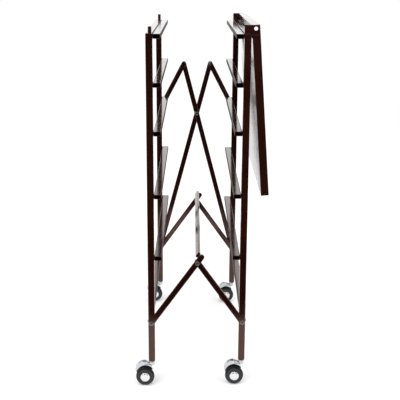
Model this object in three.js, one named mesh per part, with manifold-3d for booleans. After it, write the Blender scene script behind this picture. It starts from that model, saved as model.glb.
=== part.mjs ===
// Folding clothes rack on casters: two ladder frames joined by a low folding spreader at each end and by a
// tall scissor at the far end. A flat panel hangs outside the right frame and swings up to bridge both tops.
// Millimetres. X runs across the rack, Y along the rungs, Z up.
import * as THREE from 'three';
import { mergeVertices } from 'three/addons/utils/BufferGeometryUtils.js';
import Module from 'manifold-3d';

const wasm = await Module();
wasm.setup();

// Overall layout
const SPREAD = 262; // distance between the two frames' post centres
const TUBE = 19; // square tube of the posts and rails
const WALL = 1.2; // tube wall
const JOIN = 0.2; // gap at a welded or seated face
const STEP = 9; // one bar plane; the left frame is this much deeper at each end
const LEFT_DEPTH = 668; // outside depth of the left frame
const RIGHT_DEPTH = LEFT_DEPTH - 2 * STEP;
const FRAME_BASE = 75; // underside of the posts
const FRAME_TOP = 1019; // top of the posts
const POST_SOCKET = 35; // solid foot of each post, bored for the caster stem

// Rungs
const RUNG_TOPS = [1018, 889, 757, 580, 400];
const RUNG_WIDTH = 21;
const RUNG_HEIGHT = 13;
const RAIL_TOP = 250; // top of the bottom rail

// Locating stubs on the left posts
const STUB_R = 4.6;
const STUB_HEIGHT = 18;
const STUB_INSET = 7; // from the frame's end face
const STUB_OFFSET = 2; // from the post's centre

// Bars and pivots
const BAR_WIDTH = 16.6;
const BAR_THICK = 8;
const BAR_GAP = 0.4; // between a bar and the face it lies on
const PIN_R = 3;
const PIN_CLEARANCE = 0.3;
const HEAD_R = 6.5;
const HEAD_THICK = 2.6;
const PIVOT_Z = 199; // lower pivots of the spreaders and of the scissor
const SPREADER_RISE = 184; // lower pivots to the spreader's centre pivot
const SPREADER_TAIL = 29; // left bar beyond the centre pivot
const STOP_LENGTH = 16; // crossbar, measured along the bar that carries it
const STOP_THICK = 8;
const CROSS_RISE = 496.6; // lower pivots to the scissor's crossing
const SCISSOR_BETA = 0.35; // upper part of a long bar over its lower part
const LINK_RISE = 508; // lower pivots to the link pivots on the posts

// Top panel and its hinge
const PIN_OUT = 20.7; // hinge pin from the right post's centre
const PIN_UP = 13.3; // hinge pin above the post tops
const HINGE_R = 5;
const CHEEK_THICK = 3;
const CHEEK_HEIGHT = 23;
const CHEEK_REACH = 31; // from the post's centre to the cheek's outer edge
const CHEEK_DROP = 4; // below the post top, outside the post
const PANEL_GAP = 0.6;
const PANEL_DEEP = 22;
const PANEL_SHEET = 1.4;
const PANEL_ABOVE = 9.7; // beyond the pin, towards the hinge end
const PANEL_BELOW = 458.5; // beyond the pin, towards the free end
const PANEL_FACE = 10.4; // smooth face from the pin
const PANEL_TILT = THREE.MathUtils.degToRad(4.4);

// Casters
const TRAIL = 20; // wheel axis behind the swivel axis
const WHEEL_ASIDE = 6; // middle of the wheel in front of the swivel axis
const TYRE_R = 27;
const TYRE_WIDTH = 19;
const HUB_R = 14;
const HOOD_R = 26;
const HOOD_OFFSET = new THREE.Vector3(-4.5, 8 + WHEEL_ASIDE, 18); // hood centre from the wheel centre
const HOOD_FRONT = 5; // flat front of the hood behind the middle of the wheel
const HOOD_REACH = 50; // cutters run well past the hood
const WHEEL_CLEARANCE = 1.8;
const STEM_R = 5;
const BOSS_R = 8;
const BOSS_TOP = 73.6;
const NECK_LOW = 60.5; // underside of the boss and of its arm
const ARM_HEIGHT = 9;
const ARM_WIDTH = 13;
const STEM_SHORT = 6; // stem stops below the end of its socket
const AXLE_REACH = 7; // axle beyond the tyre, into the hood
const AXLE_HOLE = 9;
const CAP_RISE = 2.5; // hub cap in front of the tyre

const rack = new THREE.Group();
rack.name = 'clothes_rack';

const FINISH = {
  enamel: { color: 0x2a1710, roughness: 0.25, metalness: 0.1 },
  steel: { color: 0xb9b6b1, roughness: 0.35, metalness: 1 },
  chrome: { color: 0xe6e8ea, roughness: 0.08, metalness: 1 },
  rubber: { color: 0x1c1b1d, roughness: 0.7, metalness: 0 },
};

// Add one named piece to the rack.
function add(name, geometry, finish) {
  const mesh = new THREE.Mesh(geometry, new THREE.MeshStandardMaterial(FINISH[finish]));
  mesh.name = name;
  rack.add(mesh);
}

// Weld a geometry's vertices and drop the slivers at its poles.
function weld(geometry) {
  const bare = new THREE.BufferGeometry();
  bare.setAttribute('position', geometry.getAttribute('position').clone());
  if (geometry.index) bare.setIndex(geometry.index.clone());
  const merged = mergeVertices(bare, 1e-4);
  const kept = [];
  const index = merged.index.array;
  for (let i = 0; i < index.length; i += 3) {
    const [a, b, c] = index.slice(i, i + 3);
    if (a !== b && b !== c && a !== c) kept.push(a, b, c);
  }
  merged.setIndex(kept);
  return merged;
}

function toSolid(geometry) {
  const merged = weld(geometry);
  return new wasm.Manifold(new wasm.Mesh({
    numProp: 3,
    vertProperties: new Float32Array(merged.getAttribute('position').array),
    triVerts: new Uint32Array(merged.index.array),
  }));
}

function toGeometry(solid) {
  const mesh = solid.getMesh();
  const geometry = new THREE.BufferGeometry();
  geometry.setAttribute('position', new THREE.BufferAttribute(mesh.vertProperties, 3));
  geometry.setIndex(new THREE.BufferAttribute(mesh.triVerts, 1));
  return geometry;
}

// One body less some tools.
function cut(geometry, ...tools) {
  return toGeometry(tools.reduce((body, tool) => body.subtract(toSolid(tool)), toSolid(geometry)));
}

// Several overlapping bodies made one.
function join(first, ...others) {
  return toGeometry(others.reduce((body, other) => body.add(toSolid(other)), toSolid(first)));
}

function roundedRect(Path, width, height, radius) {
  const path = new Path();
  const x = width / 2;
  const y = height / 2;
  path.moveTo(-x + radius, -y);
  path.lineTo(x - radius, -y);
  path.absarc(x - radius, -y + radius, radius, -Math.PI / 2, 0);
  path.lineTo(x, y - radius);
  path.absarc(x - radius, y - radius, radius, 0, Math.PI / 2);
  path.lineTo(-x + radius, y);
  path.absarc(-x + radius, y - radius, radius, Math.PI / 2, Math.PI);
  path.lineTo(-x, -y + radius);
  path.absarc(-x + radius, -y + radius, radius, Math.PI, 1.5 * Math.PI);
  return path;
}

// Lay an extrusion of an XZ outline along Y, from one Y to another.
function alongY(shape, fromY, toY) {
  const options = { depth: toY - fromY, bevelEnabled: false, curveSegments: 2 };
  const geometry = new THREE.ExtrudeGeometry(shape, options);
  geometry.rotateX(Math.PI / 2);
  geometry.translate(0, toY, 0);
  return geometry;
}

// Rectangular tube lying along Y, open at both ends.
function tubeY(width, height, radius, x, z, fromY, toY) {
  const shape = roundedRect(THREE.Shape, width, height, radius);
  shape.holes.push(roundedRect(THREE.Path, width - 2 * WALL, height - 2 * WALL, radius - WALL / 2));
  return alongY(shape, fromY, toY).translate(x, 0, z);
}

// Turned piece about the Y axis through (x, z), its outline given as [radius, y] pairs.
function turnedY(outline, x, z, segments = 14) {
  const points = outline.map(([r, y]) => new THREE.Vector2(r, y));
  return weld(new THREE.LatheGeometry(points, segments)).translate(x, 0, z);
}

// Turned piece about the vertical axis through (x, y), its outline given as [radius, z] pairs.
function turnedZ(outline, x, y, segments = 14) {
  const points = outline.map(([r, z]) => new THREE.Vector2(r, z));
  return weld(new THREE.LatheGeometry(points, segments)).rotateX(Math.PI / 2).translate(x, y, 0);
}

function rod(radius, x, z, fromY, toY) {
  return turnedY([[0, fromY], [radius, fromY], [radius, toY], [0, toY]], x, z);
}

// Rivet with a domed head at each end of its shank; a shank end may be left bare.
function rivet(x, z, frontY, backY, headFront, headBack) {
  const dome = HEAD_R * 0.6;
  const outline = [];
  if (headFront) {
    outline.push([0, frontY - HEAD_THICK], [dome, frontY - HEAD_THICK], [HEAD_R, frontY - HEAD_THICK / 2]);
    outline.push([HEAD_R, frontY], [PIN_R, frontY]);
  } else {
    outline.push([0, frontY], [PIN_R, frontY]);
  }
  if (headBack) {
    outline.push([PIN_R, backY], [HEAD_R, backY], [HEAD_R, backY + HEAD_THICK / 2]);
    outline.push([dome, backY + HEAD_THICK], [0, backY + HEAD_THICK]);
  } else {
    outline.push([PIN_R, backY], [0, backY]);
  }
  return turnedY(outline, x, z);
}

// Flat bar with round ends and pivot holes. It stands on its first pivot and leans towards +X.
function bar(x, z, lean, length, holes, startY, endOvershoot = BAR_WIDTH / 2) {
  const r = BAR_WIDTH / 2;
  const top = length + endOvershoot - r;
  const shape = new THREE.Shape();
  shape.absarc(0, 0, r, Math.PI, 2 * Math.PI);
  shape.lineTo(r, top);
  shape.absarc(0, top, r, 0, Math.PI);
  shape.lineTo(-r, 0);
  for (const at of holes) {
    const hole = new THREE.Path();
    hole.absarc(0, at, PIN_R + PIN_CLEARANCE, 0, 2 * Math.PI, true);
    shape.holes.push(hole);
  }
  const options = { depth: BAR_THICK, bevelEnabled: false, curveSegments: 6 };
  const geometry = new THREE.ExtrudeGeometry(shape, options);
  geometry.rotateX(Math.PI / 2);
  return geometry.translate(0, startY + BAR_THICK, 0).rotateY(lean).translate(x, 0, z);
}

const SIDES = {
  left: { x: -SPREAD / 2, inward: 1, front: 0, back: LEFT_DEPTH },
  right: { x: SPREAD / 2, inward: -1, front: STEP, back: STEP + RIGHT_DEPTH },
};

// Post: square tube closed at the top, with a bored foot and a pivot hole through one end face.
function post(x, frontY, holes) {
  const centreY = frontY + TUBE / 2;
  const tall = FRAME_TOP - FRAME_BASE;
  const outer = new THREE.ExtrudeGeometry(roundedRect(THREE.Shape, TUBE, TUBE, 2.4), {
    depth: tall,
    bevelEnabled: false,
    curveSegments: 2,
  }).translate(x, centreY, FRAME_BASE);
  const hollow = tall - POST_SOCKET - WALL;
  const inside = new THREE.BoxGeometry(TUBE - 2 * WALL, TUBE - 2 * WALL, hollow)
    .translate(x, centreY, FRAME_BASE + POST_SOCKET + hollow / 2);
  const bore = turnedZ([
    [0, FRAME_BASE - 1],
    [STEM_R + PIN_CLEARANCE, FRAME_BASE - 1],
    [STEM_R + PIN_CLEARANCE, FRAME_BASE + POST_SOCKET + 1],
    [0, FRAME_BASE + POST_SOCKET + 1],
  ], x, centreY);
  const drilled = holes.map(([z, fromY, toY]) => rod(PIN_R + PIN_CLEARANCE, x, z, fromY, toY));
  return cut(outer, inside, bore, ...drilled);
}

for (const [side, { x, inward, front, back }] of Object.entries(SIDES)) {
  const reach = TUBE - 2;
  add(`${side}_post_near`, post(x, front, [[PIVOT_Z, front - 1, front + reach]]), 'enamel');
  add(`${side}_post_far`, post(x, back - TUBE, [[PIVOT_Z, back - reach, back + 1]]), 'enamel');
  const railFrom = front + TUBE + JOIN;
  const railTo = back - TUBE - JOIN;
  for (const [name, top] of [['top_rail', FRAME_TOP], ['bottom_rail', RAIL_TOP]]) {
    add(`${side}_${name}`, tubeY(TUBE, TUBE, 2.4, x, top - TUBE / 2, railFrom, railTo), 'enamel');
  }
  const rungX = x + inward * (TUBE / 2 + JOIN + RUNG_WIDTH / 2);
  RUNG_TOPS.forEach((top, i) => {
    const rung = tubeY(RUNG_WIDTH, RUNG_HEIGHT, 2, rungX, top - RUNG_HEIGHT / 2, front, back);
    add(`${side}_rung_${i + 1}`, rung, 'enamel');
  });
}

// Stubs that keep the raised panel from sliding sideways off the left frame.
for (const [end, y] of [['near', STUB_INSET], ['far', LEFT_DEPTH - STUB_INSET]]) {
  const low = FRAME_TOP + JOIN;
  const high = FRAME_TOP + STUB_HEIGHT;
  add(`left_stub_${end}`, turnedZ([
    [0, low],
    [STUB_R, low],
    [STUB_R, high - 1.2],
    [STUB_R - 1.2, high],
    [0, high],
  ], SIDES.left.x + STUB_OFFSET, y), 'enamel');
}

// Cheeks on the right posts and the pins they hold.
const pinX = SIDES.right.x + PIN_OUT;
const pinZ = FRAME_TOP + PIN_UP;

function cheek(fromY) {
  const low = JOIN;
  const innerEdge = -TUBE / 2;
  const step = TUBE / 2 + JOIN;
  const r = 7;
  const shape = new THREE.Shape();
  shape.moveTo(innerEdge, low);
  shape.lineTo(step, low);
  shape.lineTo(step, -CHEEK_DROP);
  shape.lineTo(CHEEK_REACH - r, -CHEEK_DROP);
  shape.absarc(CHEEK_REACH - r, r - CHEEK_DROP, r, -Math.PI / 2, 0);
  shape.lineTo(CHEEK_REACH, CHEEK_HEIGHT - r);
  shape.absarc(CHEEK_REACH - r, CHEEK_HEIGHT - r, r, 0, Math.PI / 2);
  shape.lineTo(innerEdge + 2, CHEEK_HEIGHT);
  shape.lineTo(innerEdge, CHEEK_HEIGHT - 2);
  shape.closePath();
  const hole = new THREE.Path();
  hole.absarc(PIN_OUT, PIN_UP, HINGE_R + JOIN, 0, 2 * Math.PI, true);
  shape.holes.push(hole);
  return new THREE.ExtrudeGeometry(shape, { depth: CHEEK_THICK, bevelEnabled: false, curveSegments: 8 })
    .rotateX(Math.PI / 2)
    .translate(SIDES.right.x, fromY + CHEEK_THICK, FRAME_TOP);
}

function hingePin(outerY, inward) {
  const head = HINGE_R + 1.5;
  const at = (depth) => outerY + inward * depth;
  const outline = [
    [0, at(-3)],
    [head - 1.4, at(-3)],
    [head, at(-1.8)],
    [head, at(-JOIN)],
    [HINGE_R, at(-JOIN)],
    [HINGE_R, at(CHEEK_THICK + 8)],
    [0, at(CHEEK_THICK + 8)],
  ];
  return turnedY(inward > 0 ? outline : outline.reverse(), pinX, pinZ);
}

add('hinge_cheek_near', cheek(SIDES.right.front), 'enamel');
add('hinge_cheek_far', cheek(SIDES.right.back - CHEEK_THICK), 'enamel');
add('hinge_pin_near', hingePin(SIDES.right.front, 1), 'steel');
add('hinge_pin_far', hingePin(SIDES.right.back, -1), 'steel');

// Top panel: a shallow pan, smooth on the side that faces the rack, hanging a little outward.
const panelFrom = SIDES.right.front + CHEEK_THICK + PANEL_GAP;
const panelTo = SIDES.right.back - CHEEK_THICK - PANEL_GAP;
const panelDepth = panelTo - panelFrom;
const panelTall = PANEL_ABOVE + PANEL_BELOW;
const panelMidZ = (PANEL_ABOVE - PANEL_BELOW) / 2;
const panelMidY = (panelFrom + panelTo) / 2;
const panelBody = new THREE.BoxGeometry(PANEL_DEEP, panelDepth, panelTall)
  .translate(PANEL_DEEP / 2 - PANEL_FACE, panelMidY, panelMidZ);
const panelHollow = new THREE.BoxGeometry(
  PANEL_DEEP,
  panelDepth - 2 * PANEL_SHEET,
  panelTall - 2 * PANEL_SHEET,
).translate(PANEL_DEEP / 2 - PANEL_FACE + PANEL_SHEET, panelMidY, panelMidZ);
const panelBore = rod(HINGE_R + PIN_CLEARANCE, 0, 0, panelFrom - 1, panelTo + 1);
const panel = cut(panelBody, panelHollow, panelBore);
add('top_panel', panel.rotateY(-PANEL_TILT).translate(pinX, 0, pinZ), 'enamel');

// Spreaders: one pair of crossed bars on each end face of the frames.
const half = SPREAD / 2;
const spreaderLean = Math.atan2(half, SPREADER_RISE);
const spreaderLength = Math.hypot(half, SPREADER_RISE);
const stopAt = spreaderLength + SPREADER_TAIL - STOP_LENGTH / 2;
const ENDS = {
  near: { right: SIDES.right.front - BAR_GAP - BAR_THICK, left: -BAR_GAP - BAR_THICK, out: -1 },
  far: { right: SIDES.right.back + BAR_GAP, left: LEFT_DEPTH + BAR_GAP, out: 1 },
};
const centreZ = PIVOT_Z + SPREADER_RISE;
for (const [end, planes] of Object.entries(ENDS)) {
  const holes = [0, spreaderLength];
  const leftBar = bar(-half, PIVOT_Z, spreaderLean, spreaderLength, holes, planes.left, SPREADER_TAIL);
  const rightBar = bar(half, PIVOT_Z, -spreaderLean, spreaderLength, holes, planes.right);
  add(`spreader_left_bar_${end}`, leftBar, 'enamel');
  add(`spreader_right_bar_${end}`, rightBar, 'enamel');
}

// Crossbar from the near left bar to the far left bar, lying on their upper edges.
const stopOffset = BAR_WIDTH / 2 + JOIN + STOP_THICK / 2;
const stopShape = roundedRect(THREE.Shape, STOP_THICK, STOP_LENGTH, 1.8);
const crossbar = alongY(stopShape, ENDS.near.left, ENDS.far.left + BAR_THICK)
  .translate(-stopOffset, 0, stopAt)
  .rotateY(spreaderLean)
  .translate(-half, 0, PIVOT_Z);
add('spreader_crossbar', crossbar, 'enamel');

// Pins: lower ones run into the posts, centre ones hold two bars together.
const pinDepth = TUBE - 5;
add('spreader_pin_left_near', rivet(-half, PIVOT_Z, ENDS.near.left - JOIN, pinDepth, true, false), 'steel');
add(
  'spreader_pin_left_far',
  rivet(-half, PIVOT_Z, LEFT_DEPTH - pinDepth, ENDS.far.left + BAR_THICK, false, false),
  'steel',
);
add(
  'spreader_pin_right_near',
  rivet(half, PIVOT_Z, ENDS.near.right - JOIN, SIDES.right.front + pinDepth, true, false),
  'steel',
);
add(
  'spreader_pin_right_far',
  rivet(half, PIVOT_Z, SIDES.right.back - pinDepth, ENDS.far.right + BAR_THICK, false, false),
  'steel',
);
add(
  'spreader_pin_centre_near',
  rivet(0, centreZ, ENDS.near.left - JOIN, ENDS.near.right + BAR_THICK + JOIN, true, true),
  'steel',
);
add(
  'spreader_pin_centre_far',
  rivet(0, centreZ, ENDS.far.right - JOIN, ENDS.far.left + BAR_THICK, true, false),
  'steel',
);

// Scissor behind the far spreader: two long bars, two short links.
const scissorLean = Math.atan2(half, CROSS_RISE);
const scissorLower = Math.hypot(half, CROSS_RISE);
const scissorUpper = scissorLower * SCISSOR_BETA;
const crossZ = PIVOT_Z + CROSS_RISE;
const apexZ = crossZ + CROSS_RISE * SCISSOR_BETA;
const apexX = half * SCISSOR_BETA;
const linkRun = half - apexX;
const linkDrop = apexZ - PIVOT_Z - LINK_RISE;
const linkLength = Math.hypot(linkRun, linkDrop);
const linkLean = Math.atan2(linkRun, linkDrop);
const plane = (n) => LEFT_DEPTH + BAR_GAP + n * STEP; // planes behind the left frame, counted from 0
const longHoles = [0, scissorLower, scissorLower + scissorUpper];
const longLength = scissorLower + scissorUpper;
add('long_bar_front', bar(half, PIVOT_Z, -scissorLean, longLength, longHoles, plane(1)), 'enamel');
add('long_bar_back', bar(-half, PIVOT_Z, scissorLean, longLength, longHoles, plane(2)), 'enamel');
add('link_left', bar(-half, PIVOT_Z + LINK_RISE, linkLean, linkLength, [0, linkLength], plane(0)), 'enamel');
add('link_right', bar(half, PIVOT_Z + LINK_RISE, -linkLean, linkLength, [0, linkLength], plane(1)), 'enamel');

// Rivet with a spacer collar in front of the bar that it carries.
function spacerRivet(x, z, collarFrom, barFrom) {
  const collar = HEAD_R + 1;
  const back = barFrom + BAR_THICK + JOIN;
  return turnedY([
    [0, collarFrom],
    [collar, collarFrom],
    [collar, barFrom - JOIN],
    [PIN_R, barFrom - JOIN],
    [PIN_R, back],
    [HEAD_R, back],
    [HEAD_R, back + HEAD_THICK / 2],
    [HEAD_R * 0.6, back + HEAD_THICK],
    [0, back + HEAD_THICK],
  ], x, z);
}

const linkZ = PIVOT_Z + LINK_RISE;
add('scissor_pin_left', spacerRivet(-half, PIVOT_Z, plane(1) - 0.5, plane(2)), 'steel');
add('scissor_spacer_right', spacerRivet(half, PIVOT_Z, plane(0), plane(1)), 'steel');

// Rivet through the bars of two neighbouring planes, flush in front where a rung passes close by.
function throughRivet(x, z, firstPlane, headFront) {
  const front = plane(firstPlane) - (headFront ? JOIN : 0);
  return rivet(x, z, front, plane(firstPlane + 1) + BAR_THICK + JOIN, headFront, true);
}

add('scissor_rivet', throughRivet(0, crossZ, 1, true), 'steel');
add('apex_rivet_left', throughRivet(-apexX, apexZ, 0, false), 'steel');
add('apex_rivet_right', throughRivet(apexX, apexZ, 1, true), 'steel');
add('link_rivet_left', rivet(-half, linkZ, plane(0), plane(0) + BAR_THICK + JOIN, false, true), 'steel');
add('link_spacer_right', spacerRivet(half, linkZ, SIDES.right.back + BAR_GAP, plane(1)), 'steel');

// Casters: chrome hood with its stem, rubber tyre, and hub with a bright cap.
function caster(name, postX, postY) {
  const wheel = new THREE.Vector3(postX - TRAIL, postY - WHEEL_ASIDE, TYRE_R);
  const hoodAt = wheel.clone().add(HOOD_OFFSET);
  const dome = new THREE.SphereGeometry(HOOD_R, 18, 11).rotateX(Math.PI / 2).translate(...hoodAt.toArray());
  const front = rod(HOOD_REACH, wheel.x, wheel.z, wheel.y - HOOD_REACH, wheel.y + HOOD_FRONT);
  const wellEnd = wheel.y + TYRE_WIDTH / 2 + 1.2;
  const well = rod(TYRE_R + WHEEL_CLEARANCE, wheel.x, wheel.z, wheel.y, wellEnd);
  const axleHole = rod(PIN_R + PIN_CLEARANCE, wheel.x, wheel.z, wheel.y, wheel.y + TYRE_WIDTH / 2 + AXLE_HOLE);
  const neck = turnedZ([[0, NECK_LOW], [BOSS_R, NECK_LOW], [BOSS_R, BOSS_TOP], [0, BOSS_TOP]], postX, postY);
  const arm = new THREE.BoxGeometry(TRAIL, ARM_WIDTH, ARM_HEIGHT)
    .translate(postX - TRAIL / 2, postY, NECK_LOW + ARM_HEIGHT / 2);
  const stemLow = NECK_LOW + 1;
  const stemTop = FRAME_BASE + POST_SOCKET - STEM_SHORT;
  const stem = turnedZ([[0, stemLow], [STEM_R, stemLow], [STEM_R, stemTop], [0, stemTop]], postX, postY);
  add(`${name}_hood`, join(cut(dome, front, well, axleHole), arm, neck, stem), 'chrome');

  const w = TYRE_WIDTH / 2;
  const tyre = [
    [HUB_R, -w + 2],
    [HUB_R + 2, -w],
    [TYRE_R - 6, -w],
    [TYRE_R - 1.8, -w + 3],
    [TYRE_R, -w + 7],
    [TYRE_R, w - 7],
    [TYRE_R - 1.8, w - 3],
    [TYRE_R - 6, w],
    [HUB_R, w],
    [HUB_R, -w + 2],
  ];
  add(`${name}_tyre`, turnedY(tyre, wheel.x, wheel.z, 24).translate(0, wheel.y, 0), 'rubber');
  const hub = HUB_R - JOIN;
  const cap = [
    [0, -w - CAP_RISE],
    [hub - 5, -w - CAP_RISE + 0.4],
    [hub - 1, -w - 0.6],
    [hub, -w + 1],
    [hub, w - 1],
    [PIN_R, w - 1],
    [PIN_R, w + AXLE_REACH],
    [0, w + AXLE_REACH],
  ];
  add(`${name}_hub`, turnedY(cap, wheel.x, wheel.z, 16).translate(0, wheel.y, 0), 'chrome');
}

for (const [side, { x, front, back }] of Object.entries(SIDES)) {
  caster(`caster_${side}_near`, x, front + TUBE / 2);
  caster(`caster_${side}_far`, x, back - TUBE / 2);
}

// Origin: centre of the footprint, on the floor.
const extent = new THREE.Box3().setFromObject(rack);
const middle = extent.getCenter(new THREE.Vector3());
rack.traverse((piece) => {
  if (piece.isMesh) piece.geometry.translate(-middle.x, -middle.y, -extent.min.z);
});

export default rack;
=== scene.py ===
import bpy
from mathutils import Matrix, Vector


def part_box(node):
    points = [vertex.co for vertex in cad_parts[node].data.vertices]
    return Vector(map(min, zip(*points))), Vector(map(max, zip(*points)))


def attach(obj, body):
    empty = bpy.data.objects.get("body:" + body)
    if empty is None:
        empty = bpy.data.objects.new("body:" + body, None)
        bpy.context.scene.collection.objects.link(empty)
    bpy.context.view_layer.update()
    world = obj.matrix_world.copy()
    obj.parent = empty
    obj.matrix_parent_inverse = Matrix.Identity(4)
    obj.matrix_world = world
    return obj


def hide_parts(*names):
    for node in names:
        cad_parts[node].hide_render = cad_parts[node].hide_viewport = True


bl_info = {
    "name": "Folding clothes rack",
    "version": (1, 0, 0),
    "blender": (4, 2, 0),
    "location": "View3D > Sidebar > Clothes rack",
    "description": "Finishes the folding clothes rack: tubes, rungs, bars, rivets, panel and casters",
    "category": "Object",
}

import math

import bmesh
import bpy
from mathutils import Matrix, Vector

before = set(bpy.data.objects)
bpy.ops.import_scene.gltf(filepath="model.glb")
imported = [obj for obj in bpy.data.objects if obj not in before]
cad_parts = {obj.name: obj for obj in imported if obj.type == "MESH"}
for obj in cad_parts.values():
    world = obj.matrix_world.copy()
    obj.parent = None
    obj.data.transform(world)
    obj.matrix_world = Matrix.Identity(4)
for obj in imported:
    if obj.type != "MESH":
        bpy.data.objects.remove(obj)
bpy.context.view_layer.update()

MM = 0.001
SIDES = ("left", "right")
ENDS = ("near", "far")
OUTWARD = {"left": -1, "right": 1}
QUARTER = math.pi / 2


# ---- measures taken from the frame


def low(node):
    return Vector(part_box(node)[0])


def high(node):
    return Vector(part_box(node)[1])


def middle(node):
    return (low(node) + high(node)) / 2


POST = {(s, e): middle(f"{s}_post_{e}") for s in SIDES for e in ENDS}
TUBE = (high("left_post_near") - low("left_post_near")).x
POST_FOOT = low("left_post_near").z
POST_TOP = high("left_post_near").z
PIVOT_Z = middle("spreader_pin_left_near").z
HINGE = middle("hinge_pin_near")
FOOT = {s: Vector((POST[s, "near"].x, 0, PIVOT_Z)) for s in SIDES}
CENTRE = middle("spreader_pin_centre_near")
APEX = {s: middle(f"apex_rivet_{s}") for s in SIDES}
LINK_FOOT = {"left": middle("link_rivet_left"), "right": middle("link_spacer_right")}


# ---- sizes that the frame doesn't give

TINY = 0.05 * MM  # stands for a radius of nothing where a turned outline meets its axis
LEAST_CORNER = 0.2 * MM

# posts, stubs and sockets
FOOT_ROUND = 2.4 * MM
TOP_ROUND = 1.1 * MM
FOOT_INSIDE = 4 * MM  # from a post's outer face to the recess in its foot
FOOT_RECESS = 30 * MM
STUB_SWELL = 0.4 * MM
STUB_SUNK = 0.2 * MM
SOCKET_TOP = 28 * MM
SOCKET_CLEAR = 4.1 * MM  # from a post's outer face to its socket
SOCKET_CORNER = 1.4 * MM

# rails and rungs
RIM_SOFTENING = 0.45 * MM
RUNG_WALL = 2.0 * MM
RUNGS = range(1, 6)
FIXING_INSET = 130 * MM
# no fixing hole is cut; a flat dark disc of this radius, sunk this far into the rung top, is painted in as
# each hole's shade
FIXING_RADIUS = 2.4 * MM
FIXING_SUNK = 0.4 * MM

# bars and pivots
BAR_WIDTH = 16.6 * MM
TAIL = 29 * MM
CROSSBAR_THICK = 8 * MM
CROSSBAR_WIDE = 16 * MM
CROSSBAR_CORNER = 2.2 * MM
SHANK = 3 * MM
COLLAR = 6.5 * MM
COLLAR_THICK = 2.6 * MM
DOME = 4.4 * MM
DOME_GAP = 0.2 * MM
RING = 0.7 * MM
SPACER_SEAT = 8.4 * MM  # one bar and its clearance
SPACER_CHAMFER = 0.6 * MM

# panel and hinge
PANEL_TILT = math.radians(4.4)
PANEL_FACE = 10.4 * MM  # from the hinge axis in to the sheet
PANEL_DEEP = 22 * MM
PANEL_ABOVE = 9.7 * MM
PANEL_BELOW = 458.5 * MM
PANEL_CORNER = 2.4 * MM
BEND = 1.6 * MM
SHEET = 1.3 * MM
HEM = 5 * MM
CHEEK_ROUND = 7 * MM
CHEEK_CHAMFER = 2 * MM
CHEEK_SOFTENING = 0.5 * MM
PIN_STEM = 5 * MM

# casters
HUB_RADIUS = 14 * MM
CAP_RADIUS = 13.8 * MM
TREAD_DEPTH = 3.4 * MM
HOOD_OFFSET = Vector((-4.5, 14, 18)) * MM
HOOD_RADIUS = 25.4 * MM
HOOD_FRONT = 5.2 * MM
HOOD_EDGE = 0.45 * MM
WELL_RADIUS = 28.8 * MM
WELL_END = 10.7 * MM
CUTTER_LENGTH = 120 * MM
CUTTER_RADIUS = 60 * MM
BOSS_RADIUS = 8 * MM
BOSS_BOTTOM = 60.8 * MM
BOSS_TOP = 73.6 * MM
STEM_RADIUS = 5 * MM
STEM_REACH = 29 * MM
ARM_HEIGHT = 65.3 * MM
ARM_STEPS = 8
ARM_WIDE = 12.6  # in millimetres, as are the next two
ARM_WAIST = 2
ARM_TALL = 8.6
ARM_CORNER = 3.4 * MM

# stage
PAPER_HALF = 1.6
PAPER_NEAR = -0.82
PAPER_FAR = 9.0
LAMP_AIM = Vector((0, 0, 0.5))
LAMPS = (("key", (-2.2, -2.6, 3.0), 2.4, 60), ("fill", (2.8, -2.2, 2.2), 2.6, 30))  # name, place, size, watts
SUN_STRENGTH = 0.5
SUN_ANGLE = math.radians(80)
WALL_STRENGTH = 1.3
# (place from 0 to 1, shade) along a direction's coordinate from -1 to 1
FRONT_BANDS = ((0.02, 0.02), (0.485, 0.02), (0.515, 1.0), (0.98, 1.0))
WALL_BANDS = ((0.02, 0.02), (0.36, 0.02), (0.40, 1.0), (0.69, 1.0), (0.72, 0.05), (0.78, 0.05), (0.81, 1.0),
              (0.91, 1.0), (0.925, 0.05), (0.945, 0.05), (0.96, 1.0))
LAMP_GAPS = ((0.02, 0.1), (0.16, 0.1), (0.2, 1.0), (0.36, 1.0), (0.39, 0.04), (0.46, 0.04), (0.5, 1.0),
             (0.62, 1.0), (0.66, 0.04), (0.74, 0.04), (0.78, 0.9), (0.9, 0.1), (0.98, 0.1))
CAMERA_LENS = 74.294
CAMERA_PLACE = Vector((-0.0233, -2.5487, 1.1736))
CAMERA_PITCH = 0.2688
CAMERA_YAW = 0.0097
CAMERA_ROLL = -0.0066


# ---- settings a user may change


def size_setting(name, description, default, least, most):
    """A size in millimetres that a user may change."""
    return bpy.props.FloatProperty(name=name, description=description, default=default * MM,
                                   min=least * MM, max=most * MM, unit="LENGTH")


def colour_setting(name, description, default):
    """A colour that a user may change, as an sRGB hex."""
    return bpy.props.StringProperty(name=name, description=f"sRGB hex of {description}", default=default)


class RackSizes(bpy.types.PropertyGroup):
    corner: size_setting("Tube corner", "Outer corner radius of the square tube", 2.6, 0.5, 5)
    wall: size_setting("Tube wall", "Wall thickness of the rails", 1.2, 0.6, 2.5)
    rung_corner: size_setting("Rung corner", "Outer corner radius of a rung", 2.2, 0.5, 5)
    bar_edge: size_setting("Bar edge", "Rounding of the flat bars' long edges", 2.6, 0.3, 3.8)
    rivet_rise: size_setting("Rivet rise", "Height of a rivet's dome above its collar", 1.1, 0.2, 1.2)
    nub_radius: size_setting("Nub radius", "Radius of the rivet nubs on the posts' side faces", 3.6, 1, 6)


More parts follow.
